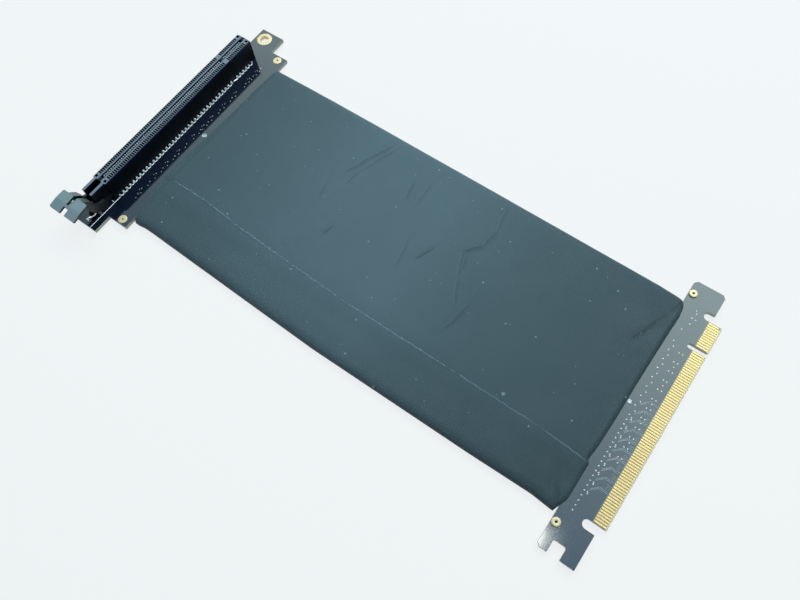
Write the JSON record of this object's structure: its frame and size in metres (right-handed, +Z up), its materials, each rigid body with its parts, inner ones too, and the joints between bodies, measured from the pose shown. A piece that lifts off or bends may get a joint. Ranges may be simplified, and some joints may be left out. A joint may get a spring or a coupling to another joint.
{
  "type": "gpu riser cable",
  "caption": "Flat riser cable in a black cloth sleeve: a card socket with a hinged latch on a small board at one end, a gold-fingered plug board at the other",
  "frame": {"origin": "middle of the bounding box, at the height of the surface that the cable lies on", "axes": "+X runs along the cable from the socket end to the plug end, +Y runs along the two connectors away from the latch, +Z points up, the way the card socket opens"},
  "size_m": [0.2366, 0.1238, 0.0158],
  "materials": {
    "solder_mask": "glossy black solder mask over fibreglass board",
    "moulding": "satin black moulded connector plastic",
    "latch": "satin black moulded plastic, a little greyer than the socket",
    "gold": "thin gold plating over copper",
    "tin": "bright solder tin",
    "ribbon": "ribbed flat cable jacket",
    "tape": "thin matt black tape",
    "cloth": "black woven conductive shielding cloth with a fine diagonal rib"
  },
  "bodies": {
    "cable": {"socket_board": "solder_mask", "socket_housing": "moulding", "mounting_ring": "gold", "socket_eyelet_top": "gold", "socket_eyelet_bottom": "gold", "socket_eyelet_middle": "tin", "plug_board": "solder_mask", "plug_eyelet_top": "gold", "plug_eyelet_bottom": "gold", "plug_eyelet_middle": "tin", "ribbon_upper_1": "ribbon", "ribbon_upper_2": "ribbon", "ribbon_upper_3": "ribbon", "ribbon_upper_4": "ribbon", "ribbon_lower_1": "ribbon", "ribbon_lower_2": "ribbon", "ribbon_lower_3": "ribbon", "ribbon_lower_4": "ribbon", "socket_tape_upper": "tape", "socket_tape_lower": "tape", "plug_tape_upper": "tape", "plug_tape_lower": "tape", "cable_sleeve": "cloth"},
    "latch": {"slot_latch": "latch"}
  },
  "joints": [
    {"name": "latch_hinge", "type": "hinge", "parent": "cable", "child": "latch", "pos_m": [-0.1113, -0.04765, 0.00595], "axis": [1, 0, 0], "range_deg": [-15, 0]}
  ]
}
